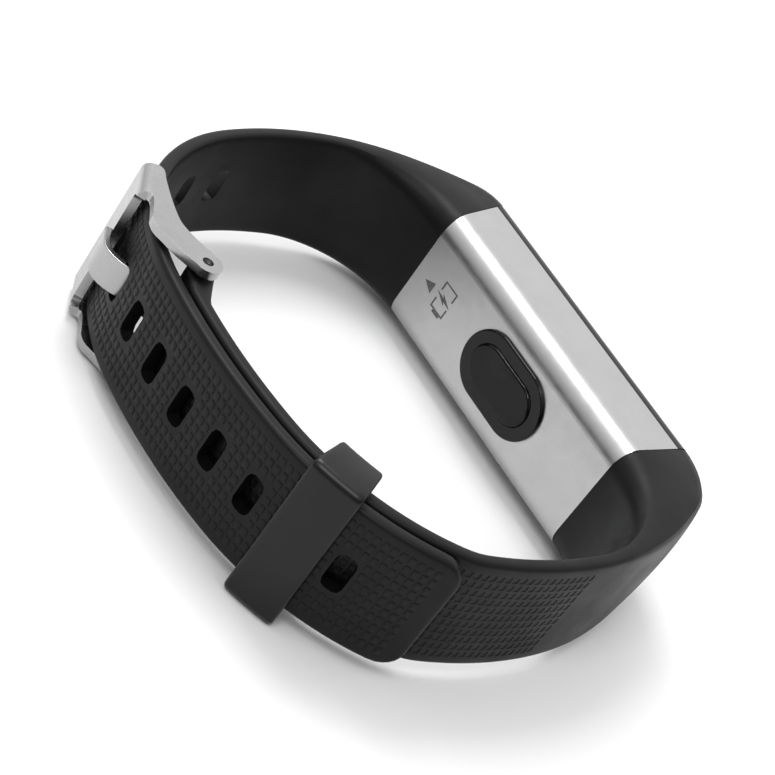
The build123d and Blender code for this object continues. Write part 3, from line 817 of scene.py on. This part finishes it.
class TrackerHoleStrap(TrackerStep):
    """Long strap with slots, raised pads and its case head"""

    bl_idname = "tracker.hole_strap"
    bl_label = "Long strap"

    def make(self, scene):
        sizes = scene.tracker_strap
        columns = pad_columns(sizes)
        first = sizes.slot_first / MM
        total = chain_length(HOLE_ARCS)
        first_row = first + ROW_PITCH / 2 - 9 * ROW_PITCH
        lengths = [0.0, 0.1, 0.3, 0.6, 1.0, 1.6]
        pad_from = len(lengths)
        while first_row < total - 0.6:
            lengths.append(first_row)
            first_row += ROW_PITCH
        pad_to = len(lengths) - 1
        lengths.append(total)
        stations = []
        for length in lengths:
            near = max(0.0, TIP_CORNER_R - length)
            width = sizes.width / MM - 2 * (TIP_CORNER_R - math.sqrt(TIP_CORNER_R ** 2 - near ** 2))
            lift_out = self.lift(0.6, length)
            lift_in = self.lift(0.5, length)
            stations.append(
                strap_station(TAIL_START, HOLE_ARCS, -1, length, sizes, width, lift_out, lift_in)
            )
        join = at_length(TAIL_START, HOLE_ARCS, total)
        stations += head_stations(
            join, -1, UPPER_HEAD_OUTER, UPPER_HEAD_INNER, UPPER_SEAM_X, sizes, 26
        )
        loft = Loft(stations, columns)
        loft.cap(loft.first)
        loft.cap(loft.last)
        path = TailPath(TAIL_START, HOLE_ARCS, -1)
        pad_rows = loft.patch((pad_from, pad_to), (1, loft.count - 2))
        kept = set(pad_rows)
        middle = loft.count // 2
        span = (middle - 3, middle + 2)
        slots = []
        for index in range(sizes.slot_count):
            centre = first + index * sizes.slot_pitch / MM
            low = pad_from + round((centre - 1.5 * ROW_PITCH - lengths[pad_from]) / ROW_PITCH)
            slots.append((centre, (low, low + 3)))
            kept -= set(loft.patch((low, low + 3), span))
        skin = list(kept)
        for centre, rows in slots:
            cut_slot(loft, rows, span, centre, sizes, path)
        loft.pads([face for face in skin if face.is_valid], PAD_GAP, sizes.pad_height / MM)
        to_piece(
            loft.bm, "hole_strap_skin", "case", scene_materials["silicone"], ["hole_strap"],
            sharp=STRAP_SHARP,
        )

    @staticmethod
    def lift(radius, length):
        if length >= radius:
            return 0.0
        return radius - math.sqrt(radius ** 2 - (radius - length) ** 2)


class TrackerBuckleStrap(TrackerStep):
    """Short strap under the long one, with its hinge lug and case head"""

    bl_idname = "tracker.buckle_strap"
    bl_label = "Short strap"

    def make(self, scene):
        sizes = scene.tracker_strap
        columns = pad_columns(sizes)
        crest_r = CREST_ARC[0] - LAYER_STEP
        start = (*polar(CREST_CENTRE, crest_r, PIN_DEG), PIN_DEG + 90)
        arcs = (
            (crest_r, CREST_DEG - PIN_DEG),
            (LOOP_R - LAYER_STEP, LAYER_END_DEG - CREST_DEG),
            LOWER_BEND,
            LOWER_SIDE_ARC,
        )
        total = chain_length(arcs)
        stations = [self.lug_station(run, columns) for run in LUG_RUNS]
        length = 5.0
        pad_from = len(stations)
        while length < total - 0.6:
            stations.append(strap_station(start, arcs, 1, length, sizes))
            length += ROW_PITCH
        pad_to = len(stations) - 1
        stations.append(strap_station(start, arcs, 1, total, sizes))
        join = at_length(start, arcs, total)
        stations += head_stations(
            join, 1, LOWER_HEAD_OUTER, LOWER_HEAD_INNER, LOWER_SEAM_X, sizes, 28
        )
        loft = Loft(stations, columns)
        loft.cap(loft.last)
        end = loft.cap(loft.first)
        prongs = [self.lug_station(run, columns) for run in PRONG_RUNS]
        loft.grow(end[:5], prongs)
        loft.grow(end[-5:], prongs)
        pads = loft.patch((pad_from + 1, pad_to), (1, loft.count - 2))
        loft.pads(pads, PAD_GAP, sizes.pad_height / MM)
        to_piece(
            loft.bm, "buckle_strap_skin", "case", scene_materials["silicone"], ["buckle_strap"],
            sharp=STRAP_SHARP,
        )

    @staticmethod
    def lug_station(run, columns):
        """Section of the hinge lug at a distance behind the pin."""
        pin_r = math.dist(PIN, CREST_CENTRE)
        crest_r = CREST_ARC[0] - LAYER_STEP
        circle = math.sqrt(max(0.0, LUG_R ** 2 - run ** 2))
        rise = min(1.0, max(0.0, run / 3.0))
        rise = rise * rise * (3 - 2 * rise)
        top = pin_r + circle
        if run > 0:
            top = pin_r + LUG_R + (crest_r - pin_r - LUG_R) * rise
        low = pin_r - circle
        if run > 0.6:
            start = math.sqrt(LUG_R ** 2 - 0.6 ** 2)
            share = (run - 0.6) / 4.0
            low = pin_r - start + share * (crest_r - 1.7 - pin_r + start)
        degrees = PIN_DEG + math.degrees(run / pin_r)
        notch = [
            math.copysign(2.4 / 7.4, share) if 0.38 < abs(share) < 0.45 else share for share in columns
        ]
        return Station(
            polar(CREST_CENTRE, top, degrees), polar(CREST_CENTRE, low, degrees), 16.0, columns=notch
        )


class TrackerKeeper(TrackerStep):
    """Loop that holds the strap's tail down"""

    bl_idname = "tracker.keeper"
    bl_label = "Keeper loop"

    def make(self, scene):
        bm = bmesh.new()
        self.sleeve(bm, *KEEPER_OUTSIDE)
        self.sleeve(bm, *KEEPER_INSIDE)
        for end in (-1, 1):
            rims = [e for e in bm.edges if e.is_boundary and all(v.co.y * end > 0 for v in e.verts)]
            bmesh.ops.bridge_loops(bm, edges=rims)
        bmesh.ops.recalc_face_normals(bm, faces=bm.faces)
        outer_long = [
            e for e in bm.edges
            if abs(e.verts[0].co.y - e.verts[1].co.y) > 5 and abs(e.verts[0].co.z) > 9
        ]
        bmesh.ops.bevel(
            bm, geom=outer_long, offset=1.0, segments=4, profile=0.5, affect="EDGES", material=-1,
            offset_type="OFFSET",
        )
        rims = [
            e for e in bm.edges
            if abs(e.verts[0].co.y - e.verts[1].co.y) < 0.1 and len(e.link_faces) == 2
            and e.calc_face_angle(0.0) > 1.0
        ]
        bmesh.ops.bevel(
            bm, geom=rims, offset=0.45, segments=3, profile=0.5, affect="EDGES", material=-1,
            offset_type="OFFSET",
        )
        for cut in (-2.0, -1.0, 0.0, 1.0, 2.0):
            bmesh.ops.bisect_plane(
                bm, geom=bm.verts[:] + bm.edges[:] + bm.faces[:], plane_co=(0, cut, 0), plane_no=(0, 1, 0)
            )
        for vert in bm.verts:
            radius = KEEPER_R + vert.co.x
            degrees = KEEPER_DEG + math.degrees(vert.co.y / KEEPER_R)
            x, y = polar(KEEPER_CENTRE, radius, degrees)
            vert.co = Vector((x, y, MID_Z + vert.co.z))
        to_piece(
            bm, "keeper_loop", "keeper", scene_materials["keeper"], ["keeper"], sharp=50
        )

    @staticmethod
    def sleeve(bm, deep, wide):
        """Four-sided sleeve, open at both ends."""
        made = bmesh.ops.create_cube(bm, size=1.0)["verts"]
        bmesh.ops.scale(bm, vec=(deep, KEEPER_L, wide), verts=made)
        ends = [f for f in {f for v in made for f in v.link_faces} if abs(f.normal.y) > 0.5]
        bmesh.ops.delete(bm, geom=ends, context="FACES_ONLY")


class TrackerCase(TrackerStep):
    """Satin cover, black lens, frame and the printed charging mark"""

    bl_idname = "tracker.case"
    bl_label = "Case"

    def make(self, scene):
        colours = scene.tracker_colours
        show(satin_metal("cover_satin", colours.cover, 0.30, 0.38, 0.5, 0.15), "back_cover")
        show(black_glass("lens_glass", colours.glass), "front_lens")
        show(printed_ink("mark_ink", colours.ink), "charge_mark")
        show(moulded_plastic("frame_plastic", (0.02, 0.02, 0.021), 0.5), "mid_frame")
        show(foam_tape("lens_foam"), "lens_adhesive")


class TrackerSensor(TrackerStep):
    """Pulse sensor: raised bezel, dark window, lamps and light cell"""

    bl_idname = "tracker.sensor"
    bl_label = "Pulse sensor"

    def make(self, scene):
        colours = scene.tracker_colours
        show(black_glass("bezel_gloss", colours.glass), "sensor_bezel")
        show(black_glass("window_smoked", colours.glass, alpha=0.84), "sensor_window")
        show(moulded_plastic("lamp_lens", (0.75, 0.95, 0.15), 0.3), "sensor_leds")
        show(moulded_plastic("light_cell", (0.35, 0.33, 0.36), 0.3), "photodiode")
        show(circuit_board("sensor_solder_mask"), "sensor_board")


class TrackerBuckle(TrackerStep):
    """Buckle frame folded from one strip, rolled tongue and pin"""

    bl_idname = "tracker.buckle"
    bl_label = "Buckle"

    def make(self, scene):
        colours = scene.tracker_colours
        metal = satin_metal("buckle_satin", colours.buckle, 0.24, 0.31, 0.16, 0.12)
        self.frame_piece(metal)
        self.tongue_piece(metal)
        show(plated_metal("pin_steel", (0.30, 0.30, 0.30), 0.3), "buckle_pin")

    def frame_piece(self, metal):
        """Sheet of the two side plates and the cross bar, folded at both corners."""
        bm = bmesh.new()
        rows = [(-FOLD_R, PLATE_MID_Z)]
        for degrees in (18, 36, 54, 72, 90):
            a = math.radians(degrees)
            rows.append((-FOLD_R + FOLD_R * math.sin(a), PLATE_MID_Z - FOLD_R * (1 - math.cos(a))))
        straight = PLATE_MID_Z - FOLD_R
        for degrees in (72, 54, 36, 18, 0):
            rows.append((0.0, straight - BAR_CORNER * (1 - math.sin(math.radians(degrees)))))
        rows += [(out, -z) for out, z in reversed(rows)]
        line = [self.bar_point(bm, share, *rows[0]) for share in BAR_SHARES]
        for pair in zip(line, line[1:]):
            bm.edges.new(pair)
        first = line
        for out, z in rows[1:]:
            edges = [bm.edges.get(pair) for pair in zip(line, line[1:])]
            made = bmesh.ops.extrude_edge_only(bm, edges=edges)["geom"]
            fresh = [item for item in made if isinstance(item, bmesh.types.BMVert)]
            fresh.sort(key=lambda v: v.co.x, reverse=True)
            for vert, share in zip(fresh, BAR_SHARES):
                vert.co = self.bar_spot(share, out, z)
            line = fresh
        for row, z in ((first, PLATE_MID_Z), (line, -PLATE_MID_Z)):
            self.side_plate(bm, row, z)
        piece = to_piece(
            bm, "buckle_frame_skin", "frame", metal, ["buckle_frame"], sharp=35
        )
        self.sheet(piece, PLATE_T, PLATE_EDGE)

    @staticmethod
    def bar_spot(share, out, z):
        """Point of the flat cross bar; its inner edge swings out into the side plates."""
        along = Vector(BAR_LINE[1]) - Vector(BAR_LINE[0])
        normal = Vector((along.y, -along.x)).normalized()
        if normal.dot(Vector(BAR_LINE[0]) - Vector(SHOULDER_CENTRE)) < 0:
            normal = -normal
        reach = max(0.0, abs(z) - (PLATE_MID_Z - FOLD_R - BAR_CORNER)) / BAR_CORNER
        reach = min(1.0, reach)
        extra = BAR_CORNER * (1 - math.sqrt(1 - reach * reach))
        spot = Vector(BAR_LINE[0]) + along * share * (1 + extra / along.length) + normal * out
        return Vector((spot.x, spot.y, MID_Z + z))

    def bar_point(self, bm, share, out, z):
        return bm.verts.new(self.bar_spot(share, out, z))

    @staticmethod
    def side_plate(bm, row, z):
        """Flat plate with a hole for the pin, joined to the bar's end row."""
        eye = [polar(PIN, PLATE_EYE_R, degrees) for degrees in range(100, 300, 15)]
        guide = (*PLATE_OUTER, *eye, *PLATE_INNER, *PLATE_END)
        rim = smooth_line(guide, 4)
        chain = [row[-1]] + [bm.verts.new((x, y, MID_Z + z)) for x, y in rim] + [row[0]]
        edges = [bm.edges.new(pair) for pair in zip(chain, chain[1:])]
        edges += [bm.edges.get(pair) for pair in zip(row, row[1:])]
        hole = bmesh.ops.create_circle(
            bm, cap_ends=False, segments=32, radius=PLATE_BORE_R, matrix=Matrix.Translation((*PIN, MID_Z + z))
        )["verts"]
        edges += list({edge for vert in hole for edge in vert.link_edges})
        bmesh.ops.triangle_fill(bm, use_beauty=True, use_dissolve=False, edges=edges, normal=(0, 0, 1))

    def tongue_piece(self, metal):
        """Strip rolled round the pin, bent up through a slot and over to the cross bar."""
        roll = [polar(PIN, TONGUE_ROLL_R, degrees) for degrees in range(40, 301, 20)]
        line = roll + smooth_line(TONGUE_PATH, 4)
        bm = bmesh.new()
        verts = [bm.verts.new((x, y, MID_Z - TONGUE_W / 2)) for x, y in line]
        edges = [bm.edges.new(pair) for pair in zip(verts, verts[1:])]
        for _ in range(TONGUE_STRIPS):
            made = bmesh.ops.extrude_edge_only(bm, edges=edges)["geom"]
            verts = [item for item in made if isinstance(item, bmesh.types.BMVert)]
            bmesh.ops.translate(bm, vec=(0, 0, TONGUE_W / TONGUE_STRIPS), verts=verts)
            edges = [
                item for item in made
                if isinstance(item, bmesh.types.BMEdge) and all(v in verts for v in item.verts)
            ]
        piece = to_piece(
            bm, "tongue_skin", "tongue", metal, ["buckle_tongue"], sharp=35
        )
        self.sheet(piece, TONGUE_T, TONGUE_EDGE)

    @staticmethod
    def sheet(piece, thickness, bevel):
        solid = piece.modifiers.new("Thickness", "SOLIDIFY")
        solid.thickness = thickness * MM
        solid.offset = 0.0
        solid.use_even_offset = True
        edge = piece.modifiers.new("Edges", "BEVEL")
        edge.width = bevel * MM
        edge.segments = 2
        edge.limit_method = "ANGLE"
        edge.angle_limit = math.radians(50)
        edge.harden_normals = True


class TrackerElectronics(TrackerStep):
    """Finishes of the parts inside the case"""

    bl_idname = "tracker.electronics"
    bl_label = "Inside parts"

    def make(self, scene):
        show(black_glass("display_glass", (0.006, 0.006, 0.009)), "display_module")
        show(plated_metal("touch_copper", (0.72, 0.38, 0.24), 0.3), "touch_pad")
        show(circuit_board("board_solder_mask"), "main_board")
        epoxy = moulded_plastic("chip_epoxy", (0.015, 0.015, 0.016), 0.55)
        show(epoxy, "processor", "memory_chip", "accelerometer")
        show(foil_pouch("battery_foil"), "battery")
        show(plated_metal("motor_steel", (0.62, 0.62, 0.62), 0.24), "vibration_motor")
        show(moulded_plastic("plug_core", (0.018, 0.018, 0.019), 0.4), "usb_plug")
        show(plated_metal("contact_gold", (0.83, 0.60, 0.22), 0.2), "plug_contacts")


class TrackerStageSetup(TrackerStep):
    """Pale floor, soft lights and the camera"""

    bl_idname = "tracker.stage"
    bl_label = "Stage"

    def make(self, scene):
        stage = scene.tracker_stage
        self.floor(scene, stage)
        self.lights(scene)
        self.camera(scene, stage)

    def floor(self, scene, stage):
        bm = bmesh.new()
        bmesh.ops.create_circle(bm, cap_ends=True, segments=64, radius=FLOOR_R)
        mesh = bpy.data.meshes.new("floor")
        bm.to_mesh(mesh)
        bm.free()
        finish = Finish("floor_paper")
        cloud = finish.noise(0.02, detail=2.0)
        base = finish.mix(cloud, scaled(stage.floor, 0.99), scaled(stage.floor, 1.01))
        mesh.materials.append(finish.done(base, 0.9))
        obj = bpy.data.objects.new("floor", mesh)
        obj.location.z = -FLOOR_DROP
        scene.collection.objects.link(obj)

    def lights(self, scene):
        """Sky that is brighter towards the charging end, with a soft key lamp and a weaker fill."""
        world = bpy.data.worlds.new("studio")
        world.use_nodes = True
        tree = world.node_tree
        back = tree.nodes["Background"]
        back.inputs["Color"].default_value = (1, 1, 1, 1)
        towards = tree.nodes.new("ShaderNodeVectorMath")
        towards.operation = "DOT_PRODUCT"
        towards.inputs[1].default_value = SKY_TOWARDS
        coords = tree.nodes.new("ShaderNodeTexCoord")
        tree.links.new(coords.outputs["Generated"], towards.inputs[0])
        span = tree.nodes.new("ShaderNodeMapRange")
        for name, value in SKY_SPAN:
            span.inputs[name].default_value = value
        tree.links.new(towards.outputs["Value"], span.inputs["Value"])
        tree.links.new(span.outputs["Result"], back.inputs["Strength"])
        scene.world = world
        for lamp in LAMPS:
            self.area(scene, *lamp)

    def area(self, scene, name, where, size, power):
        lamp = bpy.data.lights.new(name, "AREA")
        lamp.shape = "SQUARE"
        lamp.size = size
        lamp.energy = power
        obj = bpy.data.objects.new(name, lamp)
        obj.location = where
        obj.rotation_mode = "QUATERNION"
        aim = Vector(LAMP_AIM) - Vector(where)
        obj.rotation_quaternion = aim.to_track_quat("-Z", "Y")
        scene.collection.objects.link(obj)

    def camera(self, scene, stage):
        a = stage.azimuth
        e = stage.elevation
        back = Vector((math.sin(a) * math.cos(e), -math.cos(a) * math.cos(e), math.sin(e)))
        flat = Vector((0, 0, 1)).cross(back).normalized()
        above = back.cross(flat)
        right = flat * math.cos(stage.roll) + above * math.sin(stage.roll)
        up = above * math.cos(stage.roll) - flat * math.sin(stage.roll)
        turn = Matrix((right, up, back)).transposed().to_4x4()
        data = bpy.data.cameras.new("camera")
        data.lens = stage.lens
        data.sensor_width = 36.0
        data.clip_start = 0.01
        data.clip_end = 20.0
        obj = bpy.data.objects.new("camera", data)
        target = Vector(CAMERA_AIM) * MM
        obj.matrix_world = Matrix.Translation(target + back * stage.distance) @ turn
        scene.collection.objects.link(obj)
        scene.camera = obj
        scene.view_settings.view_transform = "Standard"


class TrackerPanel(bpy.types.Panel):
    """Lists the steps of the band"""

    bl_idname = "VIEW3D_PT_tracker_band"
    bl_label = "Tracker Band"
    bl_space_type = "VIEW_3D"
    bl_region_type = "UI"
    bl_category = "Tracker Band"

    def draw(self, context):
        for step in STEPS:
            self.layout.operator(step.bl_idname)
        for holder, _ in GROUPS:
            group = getattr(context.scene, holder)
            box = self.layout.box()
            for name in group.bl_rna.properties.keys():
                if name not in ("rna_type", "name"):
                    box.prop(group, name)


GROUPS = (
    ("tracker_strap", TrackerStrapSizes),
    ("tracker_colours", TrackerColours),
    ("tracker_stage", TrackerStage),
)
STEPS = (
    TrackerHoleStrap,
    TrackerBuckleStrap,
    TrackerKeeper,
    TrackerCase,
    TrackerSensor,
    TrackerBuckle,
    TrackerElectronics,
    TrackerStageSetup,
)
scene_materials = {}


def register():
    for name, group in GROUPS:
        bpy.utils.register_class(group)
        setattr(bpy.types.Scene, name, bpy.props.PointerProperty(type=group))
    for step in STEPS:
        bpy.utils.register_class(step)
    bpy.utils.register_class(TrackerPanel)


def unregister():
    bpy.utils.unregister_class(TrackerPanel)
    for step in reversed(STEPS):
        bpy.utils.unregister_class(step)
    for name, group in reversed(GROUPS):
        delattr(bpy.types.Scene, name)
        bpy.utils.unregister_class(group)


def main():
    register()
    colours = bpy.context.scene.tracker_colours
    scene_materials["silicone"] = silicone("strap_silicone", colours.silicone, 0.40, 0.52, 0.5, 0.24)
    scene_materials["keeper"] = silicone("keeper_silicone", colours.silicone, 0.27, 0.36, 0.3, 0.36)
    bpy.ops.tracker.hole_strap()
    bpy.ops.tracker.buckle_strap()
    bpy.ops.tracker.keeper()
    bpy.ops.tracker.case()
    bpy.ops.tracker.sensor()
    bpy.ops.tracker.buckle()
    bpy.ops.tracker.electronics()
    bpy.ops.tracker.stage()


if __name__ == "__main__":
    main()
